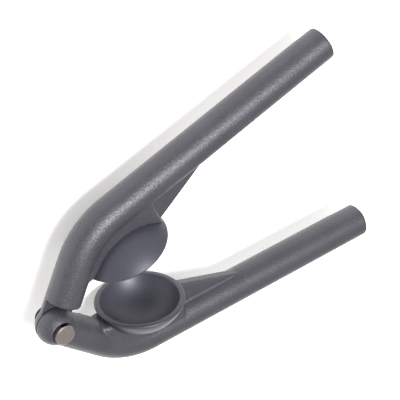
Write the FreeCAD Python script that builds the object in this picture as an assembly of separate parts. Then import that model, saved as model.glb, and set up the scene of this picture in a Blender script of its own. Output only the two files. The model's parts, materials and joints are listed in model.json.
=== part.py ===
import FreeCAD, Part
import math
import os

from FreeCAD import Vector

# Hand nutcracker: two bent round bars hinged at one end, each with a cup on its inner side.
# Everything is drawn about the hinge first: the hinge axis is Z, +X runs along the lower cup's
# rim towards the grips and +Y is the way the lower cup opens. The parts are then moved so that
# the origin lies below the middle of the whole tool, on the plane it rests on. Millimetres.

# --- driving dimensions -------------------------------------------------------------------
bar_r = 7.5                  # both bars are 15 mm round
bend_r = 32.0                # centreline radius of the bend beside the cup
end_round = 0.8              # edge of the flat grip ends
rest_opening = 22.0          # degrees that the upper lever stands open at rest

lower_bend = (30.7, -26.6)   # where the straight runs of the centreline would cross
lower_tip = (159.2, -19.6)
upper_bend = (31.2, 27.3)
upper_tip = (159.2, 21.7)

eye_r = 8.2                  # ball at the hinge end, a little fuller than the bar
lap_z = -0.9                 # middle of the lap; the lower lever's eye is the thicker one
lap_gap = 0.3                # between the two eyes
lap_reach = 10.9             # from the hinge to the shoulder where the full bar begins
lap_edge_round = 0.6

# Each cup: x and y of the middle of its rim, rim radius, radius of its back, tilt in degrees.
lower_bowl = (40.5, -6.4, 19.6, 21.0, 0.0)
upper_bowl = (41.3, 8.5, 20.2, 24.6, -3.7)
cup_mouth_r = 17.0
lower_depth = 11.4           # inside, from the rim
upper_depth = 8.6
cup_lip = 0.7                # rounding of the rim
spigot_r = 4.5               # stub behind each cup, pressed into the lever
spigot_len = 6.5

saddle_half = 6.5            # flat-sided block between bar and cup
# Each saddle: x where it starts and ends, how far below the rim, bevel of its first corner.
lower_saddle = (19.0, 58.8, 1.8, 0.5)
upper_saddle = (18.9, 59.6, 0.6, 0.5)
saddle_round = 1.5
web_half = 2.2               # gusset from the cup to the grip
web_x1 = 90.5
web_edge_round = 0.7

pin_head_r = 4.55
pin_head_z = 8.8             # the heads stand just proud of the 8.2 mm eyes
pin_head_h = 3.2
pin_bevel = 0.45
pin_shank_r = 3.5
pin_neck_r = 2.5             # end of the shank, pressed into the cap
pin_neck_len = 1.6
run_clear = 0.05             # radial, between the pin and the eye that turns on it
cap_clear = 0.1              # axial, between the pin's cap and its seat

Z_AXIS = Vector(0, 0, 1)
seat_z = pin_head_z - pin_head_h


def bend_arc(bend, tip):
    """Start, middle and end of the centreline's arc at the bend."""
    corner = Vector(bend[0], bend[1], 0)
    end = Vector(tip[0], tip[1], 0)
    inward = Vector(corner).normalize()
    outward = (end - corner).normalize()
    turn = inward.getAngle(outward)
    setback = bend_r * math.tan(turn / 2)
    to_middle = (outward - inward).normalize()
    return [
        corner - inward * setback,
        corner + to_middle * (bend_r / math.cos(turn / 2) - bend_r),
        corner + outward * setback,
    ]


def bar_path(bend, tip):
    """Centreline: straight from the hinge, an arc at the bend, straight to the tip."""
    arc_start, arc_mid, arc_end = bend_arc(bend, tip)
    edges = [
        Part.LineSegment(Vector(0, 0, 0), arc_start).toShape(),
        Part.Arc(arc_start, arc_mid, arc_end).toShape(),
        Part.LineSegment(arc_end, Vector(tip[0], tip[1], 0)).toShape(),
    ]
    return Part.Wire(edges)


def round_bar(bend, tip):
    """Bent bar with a ball end at the hinge and a flat, softly edged end at the tip."""
    inward = Vector(bend[0], bend[1], 0).normalize()
    section = Part.Wire(Part.makeCircle(bar_r, Vector(0, 0, 0), inward))
    bar = bar_path(bend, tip).makePipeShell([section], True, True)
    end = Vector(tip[0], tip[1], 0)
    rim = min(bar.Edges, key=lambda edge: edge.CenterOfMass.distanceToPoint(end))
    bar = bar.makeFillet(end_round, [rim])
    return bar.fuse(Part.makeSphere(eye_r))


def lap_cut(bend, side):
    """Block that takes away the half of the bar on one side of the lap, up to the shoulder."""
    inward = Vector(bend[0], bend[1], 0).normalize()
    reach_back = 2 * bar_r
    block = Part.makeBox(reach_back + lap_reach, 4 * bar_r, 2 * bar_r)
    block.translate(Vector(-reach_back, -2 * bar_r, -lap_gap / 2))
    if side < 0:
        block = block.mirror(Vector(0, 0, 0), Z_AXIS)
    block.translate(Vector(0, 0, lap_z))
    block.rotate(Vector(0, 0, 0), Z_AXIS, math.degrees(math.atan2(inward.y, inward.x)))
    return block


def on_lap(edge, bend):
    """Whether an edge is where the bar's skin meets the flat of the lap or its shoulder."""
    box = edge.BoundBox
    inward = Vector(bend[0], bend[1], 0).normalize()
    reach = edge.CenterOfMass.dot(inward)
    level = box.ZLength < 0.01 and abs(box.Center.z - lap_z) < lap_gap
    flat = level and reach < lap_reach - 0.01
    shoulder = box.ZLength > bar_r / 2 and abs(reach - lap_reach) < 0.01
    return flat or shoulder


def bowl_depth(rim_r, sphere_r):
    """Depth of a spherical bowl below its rim."""
    return sphere_r - math.sqrt(sphere_r ** 2 - rim_r ** 2)


def tilted(shape, bowl):
    """The shape turned about the middle of its cup's rim."""
    return shape.rotated(Vector(bowl[0], bowl[1], 0), Z_AXIS, bowl[4])


def rim_line(bowl, x):
    """Height at x of the plane of a cup's rim."""
    return bowl[1] + (x - bowl[0]) * math.tan(math.radians(bowl[4]))


def dome(bowl, away):
    """Solid inside a cup's outer surface, with its stub; away is the side its back faces."""
    mid_x, rim_y, rim_r, sphere_r = bowl[:4]
    depth = bowl_depth(rim_r, sphere_r)
    drop = math.sqrt(sphere_r ** 2 - rim_r ** 2)
    middle = Vector(mid_x, rim_y - away * drop, 0)
    ball = Part.makeSphere(sphere_r, middle)
    back = Vector(0, away, 0)
    mouth = Vector(mid_x, rim_y, 0)
    keep = Part.makeCylinder(2 * rim_r, 2 * rim_r, mouth, back)
    bowl = ball.common(keep)
    stub = Part.makeCylinder(spigot_r, spigot_len + 1, mouth + back * (depth - 1), back)
    return bowl.fuse(stub).removeSplitter()


def cup(bowl, depth, away):
    """Cup with a spherical hollow, a rounded rim and the stub behind it."""
    mid_x, rim_y = bowl[:2]
    hollow_r = (cup_mouth_r ** 2 + depth ** 2) / (2 * depth)
    middle = Vector(mid_x, rim_y + away * (depth - hollow_r), 0)
    shell = dome(bowl, away).cut(Part.makeSphere(hollow_r, middle))
    rims = [edge for edge in shell.Edges if abs(edge.BoundBox.YLength) < 0.01
            and abs(edge.BoundBox.Center.y - rim_y) < 0.01]
    return tilted(shell.makeFillet(cup_lip, rims), bowl)


def plate(corners, half):
    """Flat plate of the given outline, centred on the middle plane."""
    outline = [Vector(x, y, -half) for x, y in corners]
    return Part.Face(Part.makePolygon(outline + outline[:1])).extrude(Z_AXIS * 2 * half)


def grip_line(bend, tip, x):
    """Height of the grip's centreline at x."""
    return bend[1] + (tip[1] - bend[1]) / (tip[0] - bend[0]) * (x - bend[0])


def saddle(bowl, bend, tip, block_ends):
    """Flat-sided block that fills between the bar and the back of the cup."""
    start, finish, below, bevel = block_ends
    away = math.copysign(1, bend[1])
    near_top = rim_line(bowl, start) + away * below
    far_top = rim_line(bowl, finish) + away * below
    arc_start, arc_mid, arc_end = bend_arc(bend, tip)
    block = plate([
        (start + bevel, near_top),
        (start, near_top + away * bevel),
        (arc_start.x, arc_start.y),
        (arc_mid.x, arc_mid.y),
        (arc_end.x, arc_end.y),
        (finish, grip_line(bend, tip, finish)),
        (finish, far_top),
    ], saddle_half)
    ends = [edge for edge in block.Edges
            if edge.BoundBox.XMin > finish - 0.01 and edge.BoundBox.YLength > 1]
    return block.makeFillet(saddle_round, ends)


def web(bowl, bend, tip):
    """Gusset: a thin plate from the cup's rim that runs out along the grip."""
    mid_x, rim_y, rim_r = bowl[:3]
    away = math.copysign(1, bend[1])
    start_x = mid_x + rim_r - 1.2
    start_y = rim_line(bowl, start_x) + away * 0.6
    end_y = grip_line(bend, tip, web_x1)
    skin_y = end_y - away * (bar_r - 0.4)
    gusset = plate([
        (mid_x, rim_y + away * 0.6),
        (start_x, start_y),
        (web_x1, skin_y),
        (web_x1, end_y),
        (mid_x, grip_line(bend, tip, mid_x)),
    ], web_half)
    slanted = [edge for edge in gusset.Edges
               if edge.BoundBox.ZLength < 0.01 and edge.BoundBox.XMax > web_x1 - 0.01
               and abs(edge.CenterOfMass.y - (start_y + skin_y) / 2) < 0.01]
    return gusset.makeFillet(web_edge_round, slanted)


def handle(bend, tip, bowl, block_ends, lap_side):
    """One lever: bar, saddle and web in one piece, hollowed for its cup and cut for the lap."""
    bar = round_bar(bend, tip).cut(lap_cut(bend, lap_side)).removeSplitter()
    edges = [edge for edge in bar.Edges if on_lap(edge, bend)]
    bar = bar.makeFillet(lap_edge_round, edges)
    body = bar.fuse([saddle(bowl, bend, tip, block_ends), web(bowl, bend, tip)])
    seat = tilted(dome(bowl, math.copysign(1, bend[1])), bowl)
    return body.cut(seat).removeSplitter()


def pin_seat(side, shank_r, head_r, seat_z):
    """Hole for the pin on one side: shank bore with a wider seat for the head."""
    bore = Part.makeCylinder(shank_r, 2 * bar_r, Vector(0, 0, -side * bar_r / 2), Z_AXIS * side)
    seat = Part.makeCylinder(head_r, 2 * pin_head_h, Vector(0, 0, side * seat_z), Z_AXIS * side)
    return bore.fuse(seat)


def pin_head(side):
    """Flat round head with a bevelled edge."""
    disc = Part.makeCylinder(pin_head_r, pin_head_h, Vector(0, 0, side * seat_z), Z_AXIS * side)
    rim = max(disc.Edges, key=lambda edge: side * edge.CenterOfMass.z)
    return disc.makeChamfer(pin_bevel, [rim])


lower_handle = handle(lower_bend, lower_tip, lower_bowl, lower_saddle, -1)
upper_handle = handle(upper_bend, upper_tip, upper_bowl, upper_saddle, 1)
lower_handle = lower_handle.cut(pin_seat(1, pin_shank_r, pin_head_r, seat_z))
upper_handle = upper_handle.cut(
    pin_seat(-1, pin_shank_r + run_clear, pin_head_r + run_clear, seat_z - cap_clear))
lower_cup = cup(lower_bowl, lower_depth, -1)
upper_cup = cup(upper_bowl, upper_depth, 1)

# The pin's head sits in the lower lever; its neck carries the cap behind the upper lever.
shank = Part.makeCylinder(pin_shank_r, 2 * seat_z, Vector(0, 0, -seat_z))
neck = Part.makeCylinder(pin_neck_r, pin_neck_len, Vector(0, 0, -seat_z), Vector(0, 0, -1))
hinge_pin = pin_head(1).fuse([shank, neck]).removeSplitter()
hinge_cap = pin_head(-1).cut(neck)

for shape in (upper_handle, upper_cup):
    shape.rotate(Vector(0, 0, 0), Z_AXIS, rest_opening)

nodes = {
    "lower_handle": lower_handle,
    "upper_handle": upper_handle,
    "lower_cup": lower_cup,
    "upper_cup": upper_cup,
    "hinge_pin": hinge_pin,
    "hinge_cap": hinge_cap,
}

whole = Part.makeCompound(list(nodes.values())).optimalBoundingBox()
shift = Vector(-whole.Center.x, -whole.Center.y, -whole.ZMin)

os.makedirs("parts", exist_ok=True)
for name, shape in nodes.items():
    shape.translate(shift)
    shape.exportStep("parts/" + name + ".step")
    print(name, "volume", round(shape.Volume, 1), "valid", shape.isValid(), "solids", len(shape.Solids))
print("hinge axis at", round(shift.x, 3), round(shift.y, 3), round(shift.z, 3))
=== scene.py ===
import json
import math

import bmesh
import bpy
from mathutils import Matrix, Vector


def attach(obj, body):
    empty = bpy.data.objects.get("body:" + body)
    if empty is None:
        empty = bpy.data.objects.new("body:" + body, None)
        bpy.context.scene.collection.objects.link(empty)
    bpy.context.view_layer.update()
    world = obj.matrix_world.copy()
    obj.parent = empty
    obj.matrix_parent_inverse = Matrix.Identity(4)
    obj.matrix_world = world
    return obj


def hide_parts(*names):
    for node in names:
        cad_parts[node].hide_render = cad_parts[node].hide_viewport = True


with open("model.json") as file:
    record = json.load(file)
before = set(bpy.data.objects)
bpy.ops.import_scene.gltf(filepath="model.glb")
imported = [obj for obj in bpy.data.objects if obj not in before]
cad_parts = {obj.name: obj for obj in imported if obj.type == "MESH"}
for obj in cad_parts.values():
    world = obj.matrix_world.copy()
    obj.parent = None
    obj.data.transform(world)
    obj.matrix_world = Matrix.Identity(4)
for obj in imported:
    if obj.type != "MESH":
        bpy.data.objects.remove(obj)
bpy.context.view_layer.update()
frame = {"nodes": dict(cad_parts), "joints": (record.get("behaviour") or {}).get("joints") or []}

# Hand nutcracker: two powder-coated cast levers, their cups and a steel pin.
# Sizes in the dictionaries are millimetres, drawn about the hinge: X runs towards the grips
# along the lower cup's rim and Y is the way the lower cup opens.

millimetre = 0.001
hinge = Vector(frame["joints"][0]["pos_m"])
print("frame loaded, hinge at", [round(v, 5) for v in hinge])


def addNode(tree, kind, inputs=None, **settings):
    # inputs: a socket's name or number, and either a value or another node's socket to link from
    node = tree.nodes.new(kind)
    for name, value in settings.items():
        setattr(node, name, value)
    for key, value in (inputs or {}).items():
        if isinstance(value, bpy.types.NodeSocket):
            tree.links.new(value, node.inputs[key])
        else:
            node.inputs[key].default_value = value
    return node


def linearColour(code):
    parts = [int(code[i:i + 2], 16) / 255 for i in (1, 3, 5)]
    return [c / 12.92 if c <= 0.04045 else ((c + 0.055) / 1.055) ** 2.4 for c in parts] + [1.0]


powderCoat = {
    "dark": "#36353b",
    "light": "#403f46",
    "grain": 0.75,            # mm, one bump; the real texture is about half that, too fine to show
    "mottle": 12.0,           # mm, slow change of tone
    "bumpHeight": 0.16,       # mm
    "roughness": (0.34, 0.52),
    "metallic": 0.30,
}

satinCoat = {
    "dark": "#36363f",
    "light": "#3b3b45",
    "grain": 0.75,
    "mottle": 12.0,
    "bumpHeight": 0.03,
    "roughness": (0.4, 0.48),
    "metallic": 0.30,
}


def coatedCasting(name, finish):
    material = bpy.data.materials.new(name)
    material.use_nodes = True
    tree = material.node_tree
    tree.nodes.clear()
    place = addNode(tree, "ShaderNodeTexCoord").outputs["Object"]
    grain = addNode(tree, "ShaderNodeTexNoise", {
        "Vector": place, "Scale": 1 / (finish["grain"] * millimetre),
        "Detail": 2.0, "Roughness": 0.6})
    mottle = addNode(tree, "ShaderNodeTexNoise", {
        "Vector": place, "Scale": 1 / (finish["mottle"] * millimetre),
        "Detail": 3.0, "Roughness": 0.5})
    tone = addNode(tree, "ShaderNodeMath", {0: grain.outputs["Fac"], 1: mottle.outputs["Fac"]})
    spread = addNode(tree, "ShaderNodeMapRange", {
        "Value": tone.outputs["Value"], "From Min": 0.7, "From Max": 1.3})
    base = addNode(tree, "ShaderNodeMix", {
        "Factor": spread.outputs["Result"], "A": linearColour(finish["dark"]),
        "B": linearColour(finish["light"])}, data_type="RGBA")
    rough = addNode(tree, "ShaderNodeMapRange", {
        "Value": grain.outputs["Fac"], "From Min": 0.3, "From Max": 0.7,
        "To Min": finish["roughness"][0], "To Max": finish["roughness"][1]})
    bump = addNode(tree, "ShaderNodeBump", {
        "Height": grain.outputs["Fac"], "Strength": 1.0,
        "Distance": finish["bumpHeight"] * millimetre})
    shader = addNode(tree, "ShaderNodeBsdfPrincipled", {
        "Base Color": base.outputs["Result"], "Roughness": rough.outputs["Result"],
        "Normal": bump.outputs["Normal"], "Metallic": finish["metallic"], "IOR": 1.5})
    addNode(tree, "ShaderNodeOutputMaterial", {"Surface": shader.outputs["BSDF"]})
    return material


groundSteel = {
    "dark": "#7b736e",
    "light": "#a29a94",
    "paintedShadeSide": "#2b2a2c",        # painted shade: near-black on the sides of the heads, standing in for their shadow
    "line": 0.25,             # mm, width of one grinding line
    "length": 3.0,            # mm, how far a line runs
    "lineAngle": 35.0,        # degrees
    "bumpHeight": 0.004,
    "roughness": 0.34,
}


def groundSteelFinish(name, finish):
    material = bpy.data.materials.new(name)
    material.use_nodes = True
    tree = material.node_tree
    tree.nodes.clear()
    place = addNode(tree, "ShaderNodeTexCoord").outputs["Object"]
    stretched = addNode(tree, "ShaderNodeMapping", {
        "Vector": place, "Scale": (1.0, finish["line"] / finish["length"], 1.0),
        "Rotation": (0.0, 0.0, math.radians(finish["lineAngle"]))})
    lines = addNode(tree, "ShaderNodeTexNoise", {
        "Vector": stretched.outputs["Vector"], "Scale": 1 / (finish["line"] * millimetre),
        "Detail": 2.0, "Roughness": 0.5})
    ground = addNode(tree, "ShaderNodeMix", {
        "Factor": lines.outputs["Fac"], "A": linearColour(finish["dark"]),
        "B": linearColour(finish["light"])}, data_type="RGBA")
    # Faces that do not face along Z, the sides of the heads, get the near-black painted shade; only
    # the flat faces show the ground steel.
    facing = addNode(tree, "ShaderNodeSeparateXYZ", {
        "Vector": addNode(tree, "ShaderNodeTexCoord").outputs["Normal"]})
    flat = addNode(tree, "ShaderNodeMath", {0: facing.outputs["Z"]}, operation="ABSOLUTE")
    reach = addNode(tree, "ShaderNodeMapRange", {
        "Value": flat.outputs["Value"], "From Min": 0.3, "From Max": 0.6})
    base = addNode(tree, "ShaderNodeMix", {
        "Factor": reach.outputs["Result"], "A": linearColour(finish["paintedShadeSide"]),
        "B": ground.outputs["Result"]}, data_type="RGBA")
    bump = addNode(tree, "ShaderNodeBump", {
        "Height": lines.outputs["Fac"], "Strength": 1.0,
        "Distance": finish["bumpHeight"] * millimetre})
    shader = addNode(tree, "ShaderNodeBsdfPrincipled", {
        "Base Color": base.outputs["Result"], "Roughness": finish["roughness"], "Metallic": 1.0,
        "Normal": bump.outputs["Normal"]})
    addNode(tree, "ShaderNodeOutputMaterial", {"Surface": shader.outputs["BSDF"]})
    return material


# Cast aluminium with a fine-textured grey powder coat: matt, with a broken, sparkling highlight.
leverMaterial = coatedCasting("powderCoatedCasting", powderCoat)
# The same coat over a smooth turned cup: satin, with an even sheen.
cupMaterial = coatedCasting("satinCoatedCup", satinCoat)
# Stainless steel rivet with ground faces: fine straight lines, slightly warm. The sides of its
# heads carry painted shade.
pinMaterial = groundSteelFinish("groundStainlessSteel", groundSteel)
print("finishes made")


# Each lever is a bent rod, a saddle block and a web, blended as one casting.

rod = {
    "radius": 7.5,
    "eyeRadius": 8.2,         # ball at the hinge end
    "bendRadius": 32.0,
    "bendSteps": 32,
    "roundSteps": 96,
    "eyeRings": 48,
}

cutter = {
    "roundSteps": 96,
    "ballSegments": 160,
    "ballRings": 80,
    "lapSpan": 15.0,          # how far the lap's block reaches back and to each side
    "lapHeight": 20.0,
    "boreReach": 9.0,         # past both faces of the eye
    "sinkReach": 12.0,
    "overlap": 2.0,           # how far the stub's hole starts inside the cup's seat
}

lever = {
    "saddleHalf": 6.5,
    "saddleRound": 2.2,       # rounding of its upright edges
    "webHalf": 2.2,
    "webTo": 90.5,
    "webInset": 1.2,          # from the edge of the cup's rim
    "webBelow": 0.6,          # below the plane of the rim
    "stub": 4.5,
    "stubDepth": 6.5,
    "lapMiddle": -0.9,
    "lapGap": 0.3,
    "lapReach": 10.9,
    "voxel": 0.38,
    "softening": 8,           # rounds that turn the creases into cast fillets
    "fineVoxel": 0.36,
    "edgeSoftening": 3,       # rounds that only take the keenness off the cut edges
}

lowerLever = {
    "body": "lower_lever",
    "node": "lower_handle",
    "name": "lowerLever",
    "bend": (30.7, -26.6),
    "tip": (159.2, -19.6),
    "cupX": 40.5,
    "rim": -6.4,
    "rimRadius": 19.6,
    "dome": 21.0,
    "tilt": 0.0,              # degrees, of the cup in its lever
    "saddle": (19.0, 58.8, 1.8, 0.5),    # start and end, how far below the rim, bevel
    "sink": 5.35,             # floor of the seat for the pin's head
    "away": -1,
    "lapSide": -1,
    "turn": 0.0,
    "pinRadius": 3.5,
    "headRadius": 4.55,
}

upperLever = {
    "body": "upper_lever",
    "node": "upper_handle",
    "name": "upperLever",
    "bend": (31.2, 27.3),
    "tip": (159.2, 21.7),
    "cupX": 41.3,
    "rim": 8.5,
    "rimRadius": 20.2,
    "dome": 24.6,
    "tilt": -3.7,
    "saddle": (18.9, 59.6, 0.6, 0.5),
    "sink": 5.1,              # deeper and wider than the cap, which turns in it
    "away": 1,
    "lapSide": 1,
    "turn": 22.0,
    "pinRadius": 3.55,
    "headRadius": 4.85,
}


def bentRodTree():
    tree = bpy.data.node_groups.new("bentRod", "GeometryNodeTree")
    tree.interface.new_socket("Path", in_out="INPUT", socket_type="NodeSocketGeometry")
    for name in ("Rod Radius", "Eye Radius", "Bend Radius"):
        tree.interface.new_socket(name, in_out="INPUT", socket_type="NodeSocketFloat")
    for name in ("Bend Steps", "Round Steps"):
        tree.interface.new_socket(name, in_out="INPUT", socket_type="NodeSocketInt")
    tree.interface.new_socket("Finish", in_out="INPUT", socket_type="NodeSocketMaterial")
    tree.interface.new_socket("Rod", in_out="OUTPUT", socket_type="NodeSocketGeometry")
    given = addNode(tree, "NodeGroupInput").outputs
    path = addNode(tree, "GeometryNodeMeshToCurve", {"Mesh": given["Path"]}).outputs["Curve"]
    bent = addNode(tree, "GeometryNodeFilletCurve", {
        "Curve": path, "Count": given["Bend Steps"], "Radius": given["Bend Radius"]}, mode="POLY")
    section = addNode(tree, "GeometryNodeCurvePrimitiveCircle", {
        "Resolution": given["Round Steps"], "Radius": given["Rod Radius"]})
    tube = addNode(tree, "GeometryNodeCurveToMesh", {
        "Curve": bent.outputs["Curve"], "Profile Curve": section.outputs["Curve"],
        "Fill Caps": True})
    hingeEnd = addNode(tree, "GeometryNodeCurveEndpointSelection", {"Start Size": 1, "End Size": 0})
    ball = addNode(tree, "GeometryNodeMeshUVSphere", {
        "Segments": given["Round Steps"], "Rings": rod["eyeRings"], "Radius": given["Eye Radius"]})
    placed = addNode(tree, "GeometryNodeInstanceOnPoints", {
        "Points": path, "Selection": hingeEnd.outputs["Selection"],
        "Instance": ball.outputs["Mesh"]})
    joined = addNode(tree, "GeometryNodeJoinGeometry", {"Geometry": tube.outputs["Mesh"]})
    tree.links.new(placed.outputs["Instances"], joined.inputs["Geometry"])
    real = addNode(tree, "GeometryNodeRealizeInstances", {"Geometry": joined.outputs["Geometry"]})
    painted = addNode(tree, "GeometryNodeSetMaterial", {
        "Geometry": real.outputs["Geometry"], "Material": given["Finish"]})
    addNode(tree, "NodeGroupOutput", {"Rod": painted.outputs["Geometry"]})
    return tree


def meshPiece(name, points, edges=(), faces=()):
    mesh = bpy.data.meshes.new(name)
    mesh.from_pydata([Vector(p) * millimetre for p in points], edges, faces)
    piece = bpy.data.objects.new(name, mesh)
    bpy.context.scene.collection.objects.link(piece)
    return piece


def outwards(piece):
    work = bmesh.new()
    work.from_mesh(piece.data)
    bmesh.ops.remove_doubles(work, verts=work.verts, dist=0.001 * millimetre)
    bmesh.ops.recalc_face_normals(work, faces=work.faces)
    work.to_mesh(piece.data)
    work.free()
    return piece


def layeredBlock(name, outlines, heights):
    # outlines of equal length, one above another, skinned and closed
    count, top = len(outlines[0]), len(outlines) - 1
    points = [(x, y, z) for z, outline in zip(heights, outlines) for x, y in outline]
    sides = [(k * count + i, k * count + (i + 1) % count, (k + 1) * count + (i + 1) % count,
              (k + 1) * count + i) for k in range(top) for i in range(count)]
    ends = [tuple(range(count)), tuple(range(top * count, (top + 1) * count))]
    return outwards(meshPiece(name, points, faces=sides + ends))


def flatBlock(name, outline, low, high):
    return layeredBlock(name, [outline, outline], [low, high])


def ballPiece(name, middle, radius):
    piece = meshPiece(name, [])
    work = bmesh.new()
    bmesh.ops.create_uvsphere(work, u_segments=cutter["ballSegments"],
                              v_segments=cutter["ballRings"], radius=radius * millimetre,
                              matrix=Matrix.Translation(Vector(middle) * millimetre))
    work.to_mesh(piece.data)
    work.free()
    return piece


def rodPiece(name, start, end, radius):
    run = Vector(end) - Vector(start)
    place = Matrix.Translation((Vector(start) + run / 2) * millimetre)
    place = place @ run.to_track_quat("Z", "Y").to_matrix().to_4x4()
    piece = meshPiece(name, [])
    work = bmesh.new()
    bmesh.ops.create_cone(work, cap_ends=True, segments=cutter["roundSteps"],
                          radius1=radius * millimetre, radius2=radius * millimetre,
                          depth=run.length * millimetre, matrix=place)
    work.to_mesh(piece.data)
    work.free()
    return piece


def settled(piece):
    # the evaluated shape as plain mesh, with no modifier left on it
    graph = bpy.context.evaluated_depsgraph_get()
    finished = bpy.data.meshes.new_from_object(piece.evaluated_get(graph))
    piece.modifiers.clear()
    piece.data = finished
    return piece


def rimLine(shape, x):
    return shape["rim"] + (x - shape["cupX"]) * math.tan(math.radians(shape["tilt"]))


def gripLine(shape, x):
    (x0, y0), (x1, y1) = shape["bend"], shape["tip"]
    return y0 + (y1 - y0) / (x1 - x0) * (x - x0)


def bendPoints(shape):
    # start, middle and end of the rod's arc
    corner = Vector(shape["bend"])
    inward = corner.normalized()
    outward = (Vector(shape["tip"]) - corner).normalized()
    turn = inward.angle(outward)
    setback = rod["bendRadius"] * math.tan(turn / 2)
    across = (outward - inward).normalized()
    middle = corner + across * (rod["bendRadius"] / math.cos(turn / 2) - rod["bendRadius"])
    return [corner - inward * setback, middle, corner + outward * setback]


def castLever(shape, rodTree):
    away, rim, cupX = shape["away"], shape["rim"], shape["cupX"]
    bar = meshPiece(shape["name"], [(0, 0, 0), (*shape["bend"], 0), (*shape["tip"], 0)],
                    edges=[(0, 1), (1, 2)])
    bender = bar.modifiers.new("bentRod", "NODES")
    bender.node_group = rodTree
    wanted = {
        "Rod Radius": rod["radius"] * millimetre,
        "Eye Radius": rod["eyeRadius"] * millimetre,
        "Bend Radius": rod["bendRadius"] * millimetre,
        "Bend Steps": rod["bendSteps"],
        "Round Steps": rod["roundSteps"],
        "Finish": leverMaterial,
    }
    for item in rodTree.interface.items_tree:
        if item.name in wanted:
            bender[item.identifier] = wanted[item.name]
    outwards(settled(bar))

    start, end, below, bevel = shape["saddle"]
    nearTop = rimLine(shape, start) + away * below
    farTop = rimLine(shape, end) + away * below
    arc = [tuple(p) for p in bendPoints(shape)]
    layers = []
    for step in (-4, -3, -2, -1, -0.0, 0.0, 1, 2, 3, 4):      # its upright edges are rounded
        swing = math.radians(90 * step / 4)
        inset = lever["saddleRound"] * (1 - math.cos(swing))
        height = math.copysign(lever["saddleHalf"] - lever["saddleRound"], step)
        height += lever["saddleRound"] * math.sin(swing)
        layers.append((height, inset))
    outlines = [[(start + bevel + inset, nearTop + away * inset),
                 (start + inset, nearTop + away * (bevel + inset)), *arc,
                 (end - inset / 2, gripLine(shape, end)),
                 (end - inset / 2, farTop)] for height, inset in layers]
    saddle = layeredBlock("saddle", outlines, [height for height, inset in layers])
    webFrom = cupX + shape["rimRadius"] - lever["webInset"]
    webTop = rimLine(shape, webFrom) + away * lever["webBelow"]
    gripY = gripLine(shape, lever["webTo"])
    web = flatBlock("web", [
        (cupX, rim + away * lever["webBelow"]),
        (webFrom, webTop),
        (lever["webTo"], gripY - away * (rod["radius"] - 0.4)),
        (lever["webTo"], gripY),
        (cupX, gripLine(shape, cupX)),
    ], -lever["webHalf"], lever["webHalf"])

    work = bmesh.new()
    for part in (bar, saddle, web):
        work.from_mesh(part.data)
    work.to_mesh(bar.data)
    work.free()
    blend = bar.modifiers.new("blend", "REMESH")
    blend.mode = "VOXEL"
    blend.voxel_size = lever["voxel"] * millimetre
    soften = bar.modifiers.new("soften", "SMOOTH")
    soften.iterations = lever["softening"]
    settled(bar)

    # cut for the lap, the cup, its stub and the pin
    inward = Vector(shape["bend"]).normalized()
    sideways = Vector((-inward.y, inward.x))
    lapFace = lever["lapMiddle"] - shape["lapSide"] * lever["lapGap"] / 2
    span, reach = cutter["lapSpan"], lever["lapReach"]
    corners = [inward * a + sideways * b
               for a, b in ((-span, -span), (reach, -span), (reach, span), (-span, span))]
    lap = flatBlock("lap", [tuple(c) for c in corners],
                    *sorted((lapFace, lapFace + shape["lapSide"] * cutter["lapHeight"])))
    drop = math.sqrt(shape["dome"] ** 2 - shape["rimRadius"] ** 2)
    seat = ballPiece("seat", (cupX, rim - away * drop, 0), shape["dome"])
    back = rim - away * drop + away * shape["dome"]
    stub = rodPiece("stub", (cupX, back - away * cutter["overlap"], 0),
                    (cupX, back + away * lever["stubDepth"], 0), lever["stub"])
    head = -shape["lapSide"]
    bore = rodPiece("bore", (0, 0, -cutter["boreReach"]), (0, 0, cutter["boreReach"]),
                    shape["pinRadius"])
    sink = rodPiece("sink", (0, 0, head * shape["sink"]), (0, 0, head * cutter["sinkReach"]),
                    shape["headRadius"])
    rimMiddle = Matrix.Translation(Vector((cupX, rim, 0)) * millimetre)
    lean = rimMiddle @ Matrix.Rotation(math.radians(shape["tilt"]), 4, "Z") @ rimMiddle.inverted()
    for leaning in (seat, stub):
        leaning.data.transform(lean)
    blocks = [lap, seat, stub, bore, sink]
    for block in blocks:
        cut = bar.modifiers.new("cut", "BOOLEAN")
        cut.operation = "DIFFERENCE"
        cut.solver = "MANIFOLD"
        cut.object = block
    refine = bar.modifiers.new("refine", "REMESH")
    refine.mode = "VOXEL"
    refine.voxel_size = lever["fineVoxel"] * millimetre
    ease = bar.modifiers.new("ease", "SMOOTH")
    ease.iterations = lever["edgeSoftening"]
    settled(bar)
    for piece in blocks + [saddle, web]:
        bpy.data.objects.remove(piece)

    turned = Matrix.Rotation(math.radians(shape["turn"]), 4, "Z")
    bar.data.transform(Matrix.Translation(hinge) @ turned)
    bar.data.materials.clear()
    bar.data.materials.append(leverMaterial)
    bar.data.shade_smooth()
    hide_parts(shape["node"])
    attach(bar, shape["body"])
    print(shape["name"], "has", len(bar.data.polygons), "faces")
    return bar


rodTree = bentRodTree()
for shape in (lowerLever, upperLever):
    castLever(shape, rodTree)

for name, material in (("lower_cup", cupMaterial), ("upper_cup", cupMaterial),
                       ("hinge_pin", pinMaterial), ("hinge_cap", pinMaterial)):
    node = frame["nodes"][name]
    node.data.materials.clear()
    node.data.materials.append(material)
print("parts finished")


studio = {
    "floorSize": 6.0,
    "floorColour": "#f2f1ef",
    "floorGlow": 0.4,         # it gives off a little light, which softens the shadows
    "skyStrength": 0.85,
}

keyLight = {
    "from": (0.48, -0.18, 0.86),         # seen from the camera: right, up, towards it
    "distance": 2.6,
    "size": 0.87,
    "power": 113.0,
}

fillLight = {
    "from": (-0.75, 0.55, 0.35),
    "distance": 1.3,
    "size": 1.0,
    "power": 12.0,
}

view = {
    "aim": (66.10, 38.54, 11.69),       # mm from the hinge
    "distance": 0.6059,
    "azimuth": 128.561,
    "elevation": 43.42,
    "roll": 127.22,
    "lens": 135.0,
}

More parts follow.
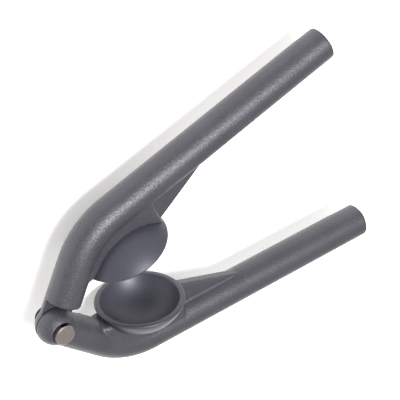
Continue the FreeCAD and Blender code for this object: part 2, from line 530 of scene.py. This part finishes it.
azimuth, elevation = math.radians(view["azimuth"]), math.radians(view["elevation"])
towards = Vector((math.cos(elevation) * math.cos(azimuth),
                  math.cos(elevation) * math.sin(azimuth), math.sin(elevation)))
levelRight = Vector((0, 0, 1)).cross(towards).normalized()
levelUp = towards.cross(levelRight)
roll = math.radians(view["roll"])
right = levelRight * math.cos(roll) + levelUp * math.sin(roll)
up = towards.cross(right)
turnedTo = Matrix((right, up, towards)).transposed().to_4x4()
aim = hinge + Vector(view["aim"]) * millimetre

cameraData = bpy.data.cameras.new("camera")
cameraData.lens = view["lens"]
cameraData.sensor_width = 36.0
cameraData.clip_start, cameraData.clip_end = 0.01, 20.0
camera = bpy.data.objects.new("camera", cameraData)
camera.matrix_world = Matrix.Translation(aim + towards * view["distance"]) @ turnedTo
bpy.context.scene.collection.objects.link(camera)
bpy.context.scene.camera = camera


def softbox(name, light):
    data = bpy.data.lights.new(name, "AREA")
    data.shape = "SQUARE"
    data.size = light["size"]
    data.energy = light["power"]
    lamp = bpy.data.objects.new(name, data)
    across, above, nearer = light["from"]
    out = (right * across + up * above + towards * nearer).normalized()
    place = Matrix.Translation(aim + out * light["distance"])
    lamp.matrix_world = place @ out.to_track_quat("Z", "Y").to_matrix().to_4x4()
    bpy.context.scene.collection.objects.link(lamp)


softbox("keySoftbox", keyLight)
softbox("fillSoftbox", fillLight)

world = bpy.data.worlds.new("studio")
world.use_nodes = True
world.node_tree.nodes.clear()
sky = addNode(world.node_tree, "ShaderNodeBackground", {
    "Color": linearColour("#ffffff"), "Strength": studio["skyStrength"]})
addNode(world.node_tree, "ShaderNodeOutputWorld", {"Surface": sky.outputs["Background"]})
bpy.context.scene.world = world

half = studio["floorSize"] / 2 / millimetre
floor = meshPiece("floor", [(-half, -half, 0), (half, -half, 0), (half, half, 0), (-half, half, 0)],
                  faces=[(0, 1, 2, 3)])
# Pale matt painted board.
board = bpy.data.materials.new("paleBoard")
board.use_nodes = True
board.node_tree.nodes.clear()
paint = addNode(board.node_tree, "ShaderNodeBsdfPrincipled", {
    "Base Color": linearColour(studio["floorColour"]), "Roughness": 0.9,
    "Emission Color": linearColour(studio["floorColour"]),
    "Emission Strength": studio["floorGlow"]})
addNode(board.node_tree, "ShaderNodeOutputMaterial", {"Surface": paint.outputs["BSDF"]})
floor.data.materials.append(board)
bpy.context.scene.view_settings.view_transform = "Standard"
print("floor, light and camera set")
